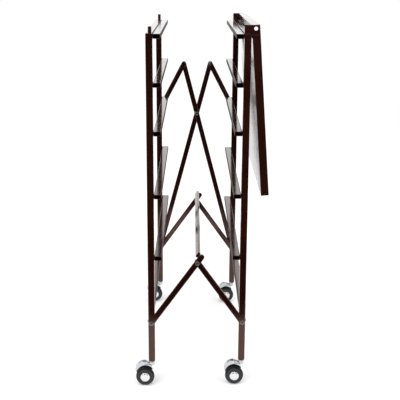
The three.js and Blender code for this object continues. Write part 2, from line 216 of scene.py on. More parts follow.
class RackColours(bpy.types.PropertyGroup):
    enamel: colour_setting("Enamel", "the stove enamel", "#1b0603")
    enamel_warm: colour_setting("Enamel, thin", "the enamel where it lies thinner", "#240c07")
    steel: colour_setting("Rivet steel", "the bare rivet steel", "#a5a29d")
    chrome: colour_setting("Chrome", "the chrome plate on the hub caps", "#e9eaeb")
    hood_chrome: colour_setting("Hood chrome", "the greyer chrome on the caster hoods", "#d0d2d4")
    # the tread's near-black: partly its own colour, partly painted shade from the hood over the tread
    rubber: colour_setting("Tyre rubber", "the tyre rubber", "#0a090a")
    tyre_wall: colour_setting("Wheel wall", "the wheel's moulded side", "#1e1d20")
    nylon: colour_setting("Hinge cap", "the hinge pins' nylon caps", "#f4f2f6")
    # this black also paints the shade in the rungs' fixing holes
    socket_black_and_hole_shade: colour_setting("Socket plastic", "the moulded caster sockets", "#17120f")
    floor: colour_setting("Floor", "the studio floor", "#fbfbfb")


def sizes():
    return bpy.context.scene.rack_sizes


def colours():
    return bpy.context.scene.rack_colours


# ---- material tools


def linear(hex_colour):
    """sRGB hex to linear RGBA."""
    parts = [int(hex_colour[i:i + 2], 16) / 255 for i in (1, 3, 5)]
    return [c / 12.92 if c <= 0.04045 else ((c + 0.055) / 1.055) ** 2.4 for c in parts] + [1.0]


def add_node(tree, kind, links=(), **settings):
    """Add one node; a setting named like an input sets that input, any other sets the node's own property."""
    node = tree.nodes.new(kind)
    for key, value in settings.items():
        name = key.replace("_", " ")
        sockets = [s for s in node.inputs if s.name.lower() == name.lower() and s.enabled]
        if sockets:
            sockets[0].default_value = value
        else:
            setattr(node, key, value)
    for source, target in links:
        tree.links.new(source, node.inputs[target])
    return node


def calculate(tree, operation, first, second):
    """Result of a sum on two values, each a socket or a plain number."""
    node = add_node(tree, "ShaderNodeMath", operation=operation)
    for place, value in enumerate((first, second)):
        if isinstance(value, float):
            node.inputs[place].default_value = value
        else:
            tree.links.new(value, node.inputs[place])
    return node.outputs[0]


def material(recipe):
    """The finish of a recipe, made when first asked for and named after it."""
    made = bpy.data.materials.get(recipe.__name__)
    if made:
        return made
    made = bpy.data.materials.new(recipe.__name__)
    made.use_nodes = True
    tree = made.node_tree
    tree.nodes.clear()
    output = tree.nodes.new("ShaderNodeOutputMaterial")
    shader = tree.nodes.new("ShaderNodeBsdfPrincipled")
    tree.links.new(shader.outputs["BSDF"], output.inputs["Surface"])
    recipe(tree, shader, tree.nodes.new("ShaderNodeTexCoord").outputs["Object"])
    return made


def per_mm(millimetres):
    """Texture scale whose features are about this many millimetres across."""
    return 1.0 / (millimetres * MM)


def noise(tree, place, size_mm, detail=2.0, roughness=0.5):
    node = add_node(tree, "ShaderNodeTexNoise", [(place, "Vector")],
                    scale=per_mm(size_mm), detail=detail, roughness=roughness)
    return node.outputs["Fac"]


def spread(tree, value, from_low, from_high, to_low, to_high):
    node = add_node(tree, "ShaderNodeMapRange", [(value, "Value")],
                    from_min=from_low, from_max=from_high, to_min=to_low, to_max=to_high)
    return node.outputs["Result"]


def blend_colours(tree, factor, first, second):
    node = tree.nodes.new("ShaderNodeMix")
    node.data_type = "RGBA"
    tree.links.new(factor, node.inputs[0])
    node.inputs[6].default_value = linear(first)
    node.inputs[7].default_value = linear(second)
    return node.outputs[2]


def paint(tree, shader, factor, first, second):
    """Colour that drifts from one sRGB hex to another."""
    tree.links.new(blend_colours(tree, factor, first, second), shader.inputs["Base Color"])


def polish(tree, shader, factor, smoothest, roughest, from_low=0.3, from_high=0.7):
    """Roughness that drifts between two values."""
    tree.links.new(spread(tree, factor, from_low, from_high, smoothest, roughest), shader.inputs["Roughness"])


def bump(tree, shader, height, strength, distance_mm):
    node = add_node(tree, "ShaderNodeBump", [(height, "Height")],
                    strength=strength, distance=distance_mm * MM)
    tree.links.new(node.outputs["Normal"], shader.inputs["Normal"])


def stove_enamel(tree, shader, place):
    """Sprayed and stoved gloss enamel on mild steel: deep brown, wet-looking, with a faint orange peel."""
    # the film thins and thickens over a hand's breadth, which warms the brown a little
    film = spread(tree, noise(tree, place, 60, 3), 0.35, 0.7, 0, 1)
    paint(tree, shader, film, colours().enamel, colours().enamel_warm)
    # handling varies the gloss slightly over a few centimetres
    polish(tree, shader, noise(tree, place, 40, 2), 0.09, 0.14, from_high=0.75)
    shader.inputs["IOR"].default_value = 1.68
    # the pigment tints the film's own shine; glancing reflections stay white
    shader.inputs["Specular Tint"].default_value = linear("#ffd2c4")
    # orange peel is about 1.5 mm across; it only ripples the reflections
    bump(tree, shader, noise(tree, place, 1.5, 1), 0.06, 0.04)


def dull_enamel(tree, shader, place):
    """The same enamel where the spray caught it thinly, on side walls and sawn ends: satin, darker."""
    film = spread(tree, noise(tree, place, 30, 3), 0.35, 0.7, 0, 1)
    paint(tree, shader, film, colours().enamel, colours().enamel_warm)
    polish(tree, shader, film, 0.5, 0.6, from_low=0, from_high=1)
    shader.inputs["Specular IOR Level"].default_value = 0.2
    bump(tree, shader, noise(tree, place, 1.5, 2), 0.12, 0.05)


def rivet_steel(tree, shader, place):
    """Bright cold-headed rivet steel: satin metal with fine tumbling marks."""
    shader.inputs["Metallic"].default_value = 1.0
    marks = noise(tree, place, 0.9, 4)
    paint(tree, shader, marks, colours().steel, "#6f6c68")
    polish(tree, shader, marks, 0.24, 0.42)
    bump(tree, shader, marks, 0.2, 0.04)


def enamelled_rivet(tree, shader, place):
    """The middle of each rivet head, painted over with the bars and rubbed a little dull."""
    wear = noise(tree, place, 1.6, 4)
    paint(tree, shader, spread(tree, wear, 0.45, 0.75, 0, 1), colours().enamel, "#6b5a50")
    polish(tree, shader, wear, 0.22, 0.4)
    bump(tree, shader, wear, 0.15, 0.05)


def chrome(tree, shader, place, bright, hazy, wave):
    """Mirror-like plate whose haze drifts between two tones, over metal with faint waves."""
    shader.inputs["Metallic"].default_value = 1.0
    haze = noise(tree, place, 9, 3)
    paint(tree, shader, haze, bright, hazy)
    polish(tree, shader, haze, 0.05, 0.12)
    bump(tree, shader, noise(tree, place, 12, 1), wave, 0.15)


def chrome_plate(tree, shader, place):
    """Bright nickel-chrome plate of the hub caps."""
    chrome(tree, shader, place, colours().chrome, "#d5d8da", 0.12)


def hood_plate(tree, shader, place):
    """Chrome over pressed steel: a little greyer than the hub caps', with the press's faint waves."""
    chrome(tree, shader, place, colours().hood_chrome, "#b6b9bd", 0.3)


def tyre_tread_and_shade(tree, shader, place):
    """Moulded black tyre compound of the tread, matt; its near-black is partly its own colour and partly
    painted shade from the hood over the tread.
    """
    dust = noise(tree, place, 5, 5, 0.6)
    paint(tree, shader, spread(tree, dust, 0.45, 0.8, 0, 1), colours().rubber, "#151415")
    polish(tree, shader, dust, 0.42, 0.6)
    shader.inputs["Specular IOR Level"].default_value = 0.2
    # a fine moulded grain of about half a millimetre
    bump(tree, shader, noise(tree, place, 0.6, 2), 0.25, 0.08)


def wheel_wall(tree, shader, place):
    """Dark grey moulded polyamide of the wheel's side: satin, with a fine spark-eroded grain."""
    grain = noise(tree, place, 3, 5, 0.6)
    paint(tree, shader, grain, colours().tyre_wall, "#19181b")
    polish(tree, shader, grain, 0.4, 0.55)
    bump(tree, shader, noise(tree, place, 0.5, 2), 0.2, 0.05)


def nylon_cap(tree, shader, place):
    """White moulded nylon cap over a hinge pin: smooth, faintly cloudy."""
    cloud = noise(tree, place, 4, 3)
    paint(tree, shader, cloud, colours().nylon, "#e6e3ea")
    polish(tree, shader, cloud, 0.25, 0.4)
    bump(tree, shader, cloud, 0.1, 0.05)


def socket_plastic_and_hole_shade(tree, shader, place):
    """Black injection-moulded polyethylene of the caster sockets: dull and faintly grained. The same black is
    the painted shade in the rungs' fixing holes.
    """
    grain = noise(tree, place, 0.8, 3)
    paint(tree, shader, grain, colours().socket_black_and_hole_shade, "#241d19")
    polish(tree, shader, grain, 0.45, 0.6)
    bump(tree, shader, grain, 0.2, 0.05)


def studio_paper(tree, shader, place):
    """Seamless white studio paper."""
    paint(tree, shader, noise(tree, place, 300, 2), colours().floor, "#f6f6f6")
    shader.inputs["Roughness"].default_value = 0.9
    shader.inputs["Specular IOR Level"].default_value = 0.1


# ---- mesh tools


def loft(bm, rings, closed=False):
    """Skin a list of equal-length rings of points; a closed loft joins its last ring to its first."""
    rows = [[bm.verts.new(p) for p in ring] for ring in rings]
    count = len(rows[0])
    pairs = list(zip(rows, rows[1:])) + ([(rows[-1], rows[0])] if closed else [])
    for a, b in pairs:
        for i in range(count):
            j = (i + 1) % count
            bm.faces.new((a[i], a[j], b[j], b[i]))
    if not closed:
        bm.faces.new(list(reversed(rows[0])))
        bm.faces.new(rows[-1])


def arc(across, up, radius, start, sweep, steps):
    """Points along an arc about a centre, from a start angle through a sweep."""
    angles = [start + sweep * i / steps for i in range(steps + 1)]
    return [(across + radius * math.cos(t), up + radius * math.sin(t)) for t in angles]


def rounded_rect(width, height, radius):
    radius = max(radius, LEAST_CORNER)
    x, y = width / 2 - radius, height / 2 - radius
    corners = ((x, y), (-x, y), (-x, -y), (x, -y))
    return [point for turn, (cx, cy) in enumerate(corners)
            for point in arc(cx, cy, radius, turn * QUARTER, QUARTER, 5)]


def stadium(length, radius, beyond):
    """Round-ended outline from a first pivot to past a second one, as (across, along)."""
    tip = length + beyond - radius
    return arc(0, 0, radius, math.pi, math.pi, 12) + arc(0, tip, radius, 0, math.pi, 12)


def edge_steps(edge, steps=4):
    """(inset, rise) pairs round a quarter-circle edge."""
    return [(edge - u, edge - v) for v, u in arc(0, 0, edge, 0, QUARTER, steps)]


def finish_mesh(bm, name, smooth_deg=38):
    """Weld, turn outward and shade a mesh: smooth except across edges sharper than the given angle."""
    bmesh.ops.remove_doubles(bm, verts=bm.verts, dist=0.001 * MM)
    bmesh.ops.recalc_face_normals(bm, faces=bm.faces)
    mesh = bpy.data.meshes.new(name)
    bm.to_mesh(mesh)
    bm.free()
    mesh.polygons.foreach_set("use_smooth", [True] * len(mesh.polygons))
    mesh.set_sharp_from_angle(angle=math.radians(smooth_deg))
    return mesh


def place_piece(mesh, body, nodes, *finishes, even_faces=True):
    """Put a finished mesh on its body, with its finishes, standing for its CAD nodes."""
    piece = bpy.data.objects.new(mesh.name, mesh)
    bpy.context.scene.collection.objects.link(piece)
    # clearing an empty list would still reset which finish each face has
    if mesh.materials:
        mesh.materials.clear()
    for finish in finishes:
        mesh.materials.append(material(finish))
    if even_faces:
        shading = piece.modifiers.new("flat faces stay flat", "WEIGHTED_NORMAL")
        shading.keep_sharp = True
    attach(piece, body)
    if nodes:
        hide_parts(*nodes)


def upright_tube(bm, x, y, bottom, top, width, radius):
    """Square tube standing on end: hollow and rounded at the foot, closed at the top."""

    def ring(inset, z):
        side = width - 2 * inset
        return [(x + a, y + b, z) for a, b in rounded_rect(side, side, radius - inset * 0.8)]

    rings = [ring(FOOT_INSIDE, bottom + FOOT_RECESS), ring(FOOT_INSIDE, bottom)]
    rings += [ring(inset, bottom + rise) for inset, rise in edge_steps(FOOT_ROUND, 3)]
    rings += [ring(inset, top - rise) for inset, rise in reversed(edge_steps(TOP_ROUND, 3))]
    loft(bm, rings)


def tube_along(bm, x, z, start, end, width, radius, wall):
    """Square tube lying along Y, open at both ends with softened rims."""
    e = RIM_SOFTENING

    def ring(inset, y):
        side = width - 2 * inset
        return [(x + a, y, z + b) for a, b in rounded_rect(side, side, radius - inset * 0.7)]

    loft(bm, [ring(e, start), ring(0, start + e), ring(0, end - e), ring(e, end), ring(wall - e, end),
              ring(wall, end - e), ring(wall, start + e), ring(wall - e, start)], closed=True)


def dull_sides(bm):
    """Second finish on the walls that face sideways and on the sawn ends."""
    bm.normal_update()
    for face in bm.faces:
        side, end = abs(face.normal.x) > 0.45, abs(face.normal.y) > 0.9
        face.material_index = 1 if side or end else 0


def flat_bar(name, node, foot, tip, beyond=BAR_WIDTH / 2):
    """Round-ended flat bar from one pivot to another, beyond the second by the given overhang."""
    front, back = low(node).y, high(node).y
    run = Vector((tip.x - foot.x, 0, tip.z - foot.z))
    along = run.normalized()
    across = Vector((along.z, 0, -along.x))
    origin = Vector((foot.x, 0, foot.z))

    def ring(inset, y):
        outline = stadium(run.length, BAR_WIDTH / 2 - inset, beyond - inset)
        return [origin + across * a + along * b + Vector((0, y, 0)) for a, b in outline]

    bm = bmesh.new()
    steps = edge_steps(sizes().bar_edge)
    rings = [ring(i, front + rise) for i, rise in steps]
    rings += [ring(i, back - rise) for i, rise in reversed(steps)]
    loft(bm, rings)
    return finish_mesh(bm, name)


def turned(bm, outline, centre, axis="Y", segments=28, slots=None):
    """Turned piece: (radius, height) pairs about an axis through a centre, starting and ending on it."""
    rings = []
    for radius, height in outline:
        ring = []
        for i in range(segments):
            a = math.tau * i / segments
            if axis == "Y":
                ring.append((centre.x + radius * math.cos(a), height, centre.z - radius * math.sin(a)))
            else:
                ring.append((centre.x + radius * math.cos(a), centre.y + radius * math.sin(a), height))
        rings.append(ring)
    before = len(bm.faces)
    loft(bm, rings)
    bm.faces.ensure_lookup_table()
    if slots:
        band = [bm.faces[before + i] for i in range((len(outline) - 1) * segments)]
        for row, slot in enumerate(slots):
            for face in band[row * segments:(row + 1) * segments]:
                face.material_index = slot
        bm.faces[-2].material_index = slots[0]
        bm.faces[-1].material_index = slots[-1]


def dome(radius, rim, tip):
    """Outline of a dome from its rim to its tip, as (radius, height) pairs."""
    return [(max(radius * across, TINY), rim + (tip - rim) * up)
            for across, up in arc(0, 0, 1, 0, QUARTER, 5)]


# ---- geometry nodes


def new_group(name, result, **inputs):
    """Node tree with one geometry result; each input is named with its kind of socket."""
    tree = bpy.data.node_groups.new(name, "GeometryNodeTree")
    tree.interface.new_socket(name=result, in_out="OUTPUT", socket_type="NodeSocketGeometry")
    for label, kind in inputs.items():
        tree.interface.new_socket(name=label, in_out="INPUT", socket_type=f"NodeSocket{kind}")
    return tree, tree.nodes.new("NodeGroupInput").outputs


def copy_to_points(tree, given, geometry):
    """Real, smooth copies of a geometry at the given points, in the given finish, as the tree's result."""
    copies = add_node(tree, "GeometryNodeInstanceOnPoints",
                      [(given["Points"], "Points"), (geometry, "Instance")])
    real = add_node(tree, "GeometryNodeRealizeInstances", [(copies.outputs["Instances"], "Geometry")])
    smooth = add_node(tree, "GeometryNodeSetShadeSmooth", [(real.outputs["Geometry"], 0)])
    painted = add_node(tree, "GeometryNodeSetMaterial",
                       [(smooth.outputs[0], "Geometry"), (given["Finish"], "Material")])
    tree.links.new(painted.outputs["Geometry"], tree.nodes.new("NodeGroupOutput").inputs[0])
    return tree


def rung_tree():
    """Tube rungs laid along Y at the given points: a filleted loop swept by a long thin wall section."""
    tree, given = new_group("Rung set", "Rungs", Points="Geometry", Width="Float", Height="Float",
                            Length="Float", Wall="Float", Corner="Float", Finish="Material")

    def fillet(curve, radius, count):
        node = tree.nodes.new("GeometryNodeFilletCurve")
        node.mode = "POLY"
        node.inputs["Count"].default_value = count
        tree.links.new(curve, node.inputs["Curve"])
        tree.links.new(radius, node.inputs["Radius"])
        return node.outputs["Curve"]

    loop = add_node(tree, "GeometryNodeCurvePrimitiveQuadrilateral",
                    [(calculate(tree, "SUBTRACT", given["Width"], given["Wall"]), "Width"),
                     (calculate(tree, "SUBTRACT", given["Height"], given["Wall"]), "Height")])
    half_wall = calculate(tree, "MULTIPLY", given["Wall"], 0.5)
    loop = fillet(loop.outputs["Curve"], calculate(tree, "SUBTRACT", given["Corner"], half_wall), 5)
    up = add_node(tree, "GeometryNodeSetCurveNormal", [(loop, "Curve")], mode="Z_UP")
    section = add_node(tree, "GeometryNodeCurvePrimitiveQuadrilateral",
                       [(given["Wall"], "Width"), (given["Length"], "Height")])
    section = fillet(section.outputs["Curve"], calculate(tree, "MULTIPLY", given["Wall"], 0.38), 2)
    skin = add_node(tree, "GeometryNodeCurveToMesh",
                    [(up.outputs["Curve"], "Curve"), (section, "Profile Curve")])
    lay = tree.nodes.new("GeometryNodeTransform")
    lay.inputs["Rotation"].default_value = (math.radians(90), 0, 0)
    tree.links.new(skin.outputs["Mesh"], lay.inputs["Geometry"])
    return copy_to_points(tree, given, lay.outputs["Geometry"])


def nub_and_hole_shade_tree():
    """Domed rivet nubs at the given points, flattened along one axis; flattened hard, the same domes are the
    dark discs of painted shade in the rungs' fixing holes.
    """
    tree, given = new_group("Rivet nubs", "Nubs", Points="Geometry", Radius="Float", Flatten="Vector",
                            Finish="Material")
    ball = tree.nodes.new("GeometryNodeMeshUVSphere")
    ball.inputs["Segments"].default_value = 24
    ball.inputs["Rings"].default_value = 14
    tree.links.new(given["Radius"], ball.inputs["Radius"])
    flat = add_node(tree, "GeometryNodeTransform",
                    [(ball.outputs["Mesh"], "Geometry"), (given["Flatten"], "Scale")])
    return copy_to_points(tree, given, flat.outputs["Geometry"])


def grow(name, tree, points, **inputs):
    """Run a node tree on a set of points and return the plain mesh it makes."""
    seed = bpy.data.meshes.new(name + "_points")
    seed.from_pydata([tuple(p) for p in points], [], [])
    holder = bpy.data.objects.new(name + "_points", seed)
    bpy.context.scene.collection.objects.link(holder)
    modifier = holder.modifiers.new(tree.name, "NODES")
    modifier.node_group = tree
    names = {item.name.lower(): item.identifier
             for item in tree.interface.items_tree if item.in_out == "INPUT"}
    for key, value in inputs.items():
        modifier[names[key]] = value
    evaluated = holder.evaluated_get(bpy.context.evaluated_depsgraph_get())
    mesh = bpy.data.meshes.new_from_object(evaluated)
    mesh.name = name
    bpy.data.objects.remove(holder)
    if not mesh.polygons:
        raise RuntimeError(f"{name}: the node tree made no faces")
    return mesh


def shared_tree(name, maker):
    return bpy.data.node_groups.get(name) or maker()


# ---- operators: the frames


class RACK_OT_posts(bpy.types.Operator):
    """Square tube posts, open at the foot round a moulded socket, with stubs on the left tops."""

    bl_idname = "rack.posts"
    bl_label = "Posts"

    def execute(self, context):
        for side in SIDES:
            bm = bmesh.new()
            nodes = [f"{side}_post_{end}" for end in ENDS]
            for end in ENDS:
                post = POST[side, end]
                upright_tube(bm, post.x, post.y, POST_FOOT, POST_TOP, TUBE, sizes().corner)
                if side == "left":
                    nodes.append(f"left_stub_{end}")
                    self.stub(bm, nodes[-1])
            place_piece(finish_mesh(bm, f"{side}_posts"), f"{side}_frame", nodes, stove_enamel)
        return {"FINISHED"}

    def stub(self, bm, node):
        """Round stub with a softened top, let a little into the post."""
        r = (high(node) - low(node)).x / 2 + STUB_SWELL
        foot, top = POST_TOP - STUB_SUNK, high(node).z
        outline = [(TINY, foot), (r, foot), (r, top - 2 * MM), (r - 0.5 * MM, top - 0.9 * MM),
                   (r - 1.5 * MM, top - 0.2 * MM), (TINY, top)]
        turned(bm, outline, middle(node), axis="Z")


class RACK_OT_rails(bpy.types.Operator):
    """Top and bottom rails of both frames."""

    bl_idname = "rack.rails"
    bl_label = "Rails"

    def execute(self, context):
        for side in SIDES:
            bm = bmesh.new()
            nodes = [f"{side}_top_rail", f"{side}_bottom_rail"]
            for node in nodes:
                c = middle(node)
                tube_along(bm, c.x, c.z, low(node).y, high(node).y, TUBE, sizes().corner, sizes().wall)
            dull_sides(bm)
            place_piece(finish_mesh(bm, f"{side}_rails"), f"{side}_frame", nodes, stove_enamel, dull_enamel)
        return {"FINISHED"}


class RACK_OT_rungs(bpy.types.Operator):
    """Rectangular tube rungs with open ends, five to a frame."""

    bl_idname = "rack.rungs"
    bl_label = "Rungs"

    def execute(self, context):
        tree = shared_tree("Rung set", rung_tree)
        for side in SIDES:
            nodes = [f"{side}_rung_{i}" for i in RUNGS]
            size = high(nodes[0]) - low(nodes[0])
            mesh = grow(f"{side}_rungs", tree, [middle(n) for n in nodes], width=size.x, height=size.z,
                        length=size.y, wall=RUNG_WALL, corner=sizes().rung_corner,
                        finish=material(stove_enamel))
            bm = bmesh.new()
            bm.from_mesh(mesh)
            dull_sides(bm)
            tubes = finish_mesh(bm, f"{side}_rung_tubes")
            place_piece(tubes, f"{side}_frame", nodes, stove_enamel, dull_enamel)
        return {"FINISHED"}


class RACK_OT_nubs(bpy.types.Operator):
    """Rivet nubs on the posts' side faces, and flat black discs of painted shade where the fixing holes near
    the rungs' ends are.
    """

    bl_idname = "rack.nubs"
    bl_label = "Nubs and fixing_hole_shade"

    def execute(self, context):
        tree = shared_tree("Rivet nubs", nub_and_hole_shade_tree)
        for side in SIDES:
            face = OUTWARD[side] * TUBE / 2
            points = [Vector((POST[side, end].x + face, POST[side, end].y, PIVOT_Z)) for end in ENDS]
            mesh = grow(f"{side}_nubs", tree, points, radius=sizes().nub_radius, flatten=(0.8, 1.0, 1.0),
                        finish=material(rivet_steel))
            place_piece(mesh, f"{side}_frame", (), rivet_steel, even_faces=False)
            # no hole is cut: a flat black disc of the socket plastic, sunk into the rung top, is the painted
            # shade inside each fixing hole
            holes = []
            for i in RUNGS:
                a, b = low(f"{side}_rung_{i}"), high(f"{side}_rung_{i}")
                # the top rung is fixed nearer its middle
                inset = FIXING_INSET if i > 1 else 2 * FIXING_INSET
                holes += [Vector(((a.x + b.x) / 2, y, b.z - FIXING_SUNK)) for y in (a.y + inset, b.y - inset)]
            mesh = grow(f"{side}_fixing_hole_shade", tree, holes, radius=FIXING_RADIUS, flatten=(1.0, 1.0, 0.3),
                        finish=material(socket_plastic_and_hole_shade))
            place_piece(mesh, f"{side}_frame", (), socket_plastic_and_hole_shade, even_faces=False)
        return {"FINISHED"}


class RACK_OT_sockets(bpy.types.Operator):
    """Moulded sockets in the posts' feet that hold the caster stems."""

    bl_idname = "rack.sockets"
    bl_label = "Caster sockets"

    def execute(self, context):
        width = TUBE - 2 * SOCKET_CLEAR
        for side in SIDES:
            bm = bmesh.new()
            for end in ENDS:
                post = POST[side, end]
                rings = []
                for inset, rise in ((0, SOCKET_TOP), (0, 0.9 * MM), (0.8 * MM, 0.3 * MM)):
                    outline = rounded_rect(width - 2 * inset, width - 2 * inset, SOCKET_CORNER)
                    rings.append([(post.x + a, post.y + b, POST_FOOT + rise) for a, b in outline])
                loft(bm, rings)
            place_piece(finish_mesh(bm, f"{side}_sockets"), f"{side}_frame", (), socket_plastic_and_hole_shade)
        return {"FINISHED"}


# ---- operators: bars and pivots


class RACK_OT_spreaders(bpy.types.Operator):
    """Crossed flat bars at both ends, and the crossbar that rides on the left pair."""

    bl_idname = "rack.spreaders"
    bl_label = "Spreaders"

    def execute(self, context):
        for end in ENDS:
            for side, beyond in (("left", TAIL), ("right", BAR_WIDTH / 2)):
                node = f"spreader_{side}_bar_{end}"
                mesh = flat_bar(f"spreader_{side}_{end}", node, FOOT[side], CENTRE, beyond)
                place_piece(mesh, f"spreader_{side}", [node], stove_enamel)
        self.crossbar()
        return {"FINISHED"}

    def crossbar(self):
        """Small solid section laid on the upper edges of the left bars."""
        front, back = low("spreader_crossbar").y, high("spreader_crossbar").y
        c = middle("spreader_crossbar")
        along = Vector((CENTRE.x - FOOT["left"].x, 0, CENTRE.z - FOOT["left"].z)).normalized()
        across = Vector((-along.z, 0, along.x))
        rounding = ((1.2 * MM, 0), (0.35 * MM, 0.35 * MM), (0, 1.2 * MM))
        places = [(inset, front + rise) for inset, rise in rounding]
        places += [(inset, back - rise) for inset, rise in reversed(rounding)]
        rings = []
        for inset, y in places:
            outline = rounded_rect(CROSSBAR_THICK - 2 * inset, CROSSBAR_WIDE - 2 * inset, CROSSBAR_CORNER)
            rings.append([Vector((c.x, y, c.z)) + across * u + along * v for u, v in outline])
        bm = bmesh.new()
        loft(bm, rings)
        place_piece(finish_mesh(bm, "crossbar"), "spreader_left", ["spreader_crossbar"], stove_enamel)


class RACK_OT_scissor(bpy.types.Operator):
    """Two long bars and two links behind the far end."""

    bl_idname = "rack.scissor"
    bl_label = "Scissor"

    def execute(self, context):
        for node, foot, apex, body in (
            ("long_bar_front", FOOT["right"], APEX["left"], "scissor_front"),
            ("long_bar_back", FOOT["left"], APEX["right"], "scissor_back"),
            ("link_left", LINK_FOOT["left"], APEX["left"], "link_left"),
            ("link_right", LINK_FOOT["right"], APEX["right"], "link_right"),
        ):
            place_piece(flat_bar(f"{node}_bar", node, foot, apex), body, [node], stove_enamel)
        return {"FINISHED"}


# which body carries which rivets
RIVET_BODIES = {
    "left_frame": ["spreader_pin_left_near", "spreader_pin_left_far", "scissor_pin_left"],
    "right_frame": ["spreader_pin_right_near", "spreader_pin_right_far"],
    "spreader_left": ["spreader_pin_centre_near", "spreader_pin_centre_far"],
    "scissor_back": ["scissor_rivet", "apex_rivet_right"],
    "scissor_front": ["apex_rivet_left", "scissor_spacer_right"],
    "link_left": ["link_rivet_left"],
    "link_right": ["link_spacer_right"],
}
FRONT_HEADS = ("spreader_pin_left_near", "spreader_pin_right_near", "spreader_pin_centre_near",
               "spreader_pin_centre_far", "scissor_rivet", "apex_rivet_right")
NO_BACK_HEADS = ("spreader_pin_centre_far", "spreader_pin_left_near", "spreader_pin_right_near")
SPACERS = ("scissor_pin_left", "scissor_spacer_right", "link_spacer_right")
BARE, PAINTED = 0, 1


def rivet_head(tip, inward):
    """From the middle of a head's dome in to the shank: (radius, height, finish)."""
    rim = tip + inward * sizes().rivet_rise
    head = [(r, y, PAINTED) for r, y in reversed(dome(DOME, rim, tip))]
    for radius, rise, finish in ((DOME + DOME_GAP, 0.1 * MM, BARE), (DOME + RING, 0.1 * MM, BARE),
                                 (COLLAR - 0.5 * MM, 0.2 * MM, PAINTED), (COLLAR, 0.7 * MM, PAINTED)):
        head.append((radius, rim + inward * rise, finish))
    base = tip + inward * COLLAR_THICK
    return head + [(COLLAR, base, BARE), (SHANK, base, BARE)]


def spacer_sleeve(front, back, wide):
    """The thick front part of a rivet that keeps a bar off its post."""
    seat = back - COLLAR_THICK - SPACER_SEAT
    c = SPACER_CHAMFER
    return [(r, y, BARE) for r, y in ((TINY, front), (wide - c, front), (wide, front + c), (wide, seat - c),
                                      (wide - c, seat), (SHANK, seat))]


class RACK_OT_rivets(bpy.types.Operator):
    """Rivets of every pivot: painted heads with a bare ring round the dome, plain pins and spacers."""

    bl_idname = "rack.rivets"
    bl_label = "Rivets"

    def execute(self, context):
        for body, nodes in RIVET_BODIES.items():
            bm = bmesh.new()
            for node in nodes:
                outline = self.outline(node)
                finishes = [finish for _, _, finish in outline]
                turned(bm, [(r, y) for r, y, _ in outline], middle(node),
                       slots=[min(pair) for pair in zip(finishes, finishes[1:])])
            mesh = finish_mesh(bm, f"{body}_rivets", smooth_deg=50)
            place_piece(mesh, body, nodes, rivet_steel, enamelled_rivet, even_faces=False)
        return {"FINISHED"}

    def outline(self, node):
        front, back = low(node).y, high(node).y
        radius = (high(node) - low(node)).x / 2
        start = [(TINY, front, BARE), (SHANK, front, BARE)]
        end = [(SHANK, back, BARE), (TINY, back, BARE)]
        plain_pin = radius < SHANK + 1 * MM
        if plain_pin:
            return start + end
        if node in FRONT_HEADS:
            start = rivet_head(front, 1)
        elif node in SPACERS:
            start = spacer_sleeve(front, back, radius)
        if node not in NO_BACK_HEADS:
            end = rivet_head(back, -1)[::-1]
        return start + end


# ---- operators: panel


class RACK_OT_panel(bpy.types.Operator):
    """Folded sheet panel: smooth inner face, soft bends, rims turned outward and hemmed."""

    bl_idname = "rack.panel"
    bl_label = "Panel"

    def execute(self, context):
        width = (high("top_panel") - low("top_panel")).y
        height = PANEL_ABOVE + PANEL_BELOW
        centre_z = (PANEL_ABOVE - PANEL_BELOW) / 2
        inner, outer = -PANEL_FACE, PANEL_DEEP - PANEL_FACE

        def ring(inset, x):
            corner = max(PANEL_CORNER - inset * 0.6, 0.6 * MM)
            outline = rounded_rect(width - 2 * inset, height - 2 * inset, corner)
            return [(x, u, centre_z + v) for u, v in outline]

        rings = [ring(inset, inner + rise) for inset, rise in edge_steps(BEND)]
        for inset, depth in ((0, 0.5 * MM), (0.5 * MM, 0), (HEM - 0.5 * MM, 0), (HEM, 0.5 * MM),
                             (HEM - 0.5 * MM, 1.0 * MM), (SHEET, 1.4 * MM)):
            rings.append(ring(inset, outer - depth))
        inside = inner + SHEET
        rings += [ring(SHEET + inset, inside + rise) for inset, rise in reversed(edge_steps(BEND * 0.6))]
        bm = bmesh.new()
        loft(bm, rings)
        hung = Matrix.Translation((HINGE.x, middle("top_panel").y, HINGE.z))
        bmesh.ops.transform(bm, matrix=hung @ Matrix.Rotation(-PANEL_TILT, 4, "Y"), verts=bm.verts)
        place_piece(finish_mesh(bm, "panel"), "top_panel", ["top_panel"], stove_enamel)
        return {"FINISHED"}


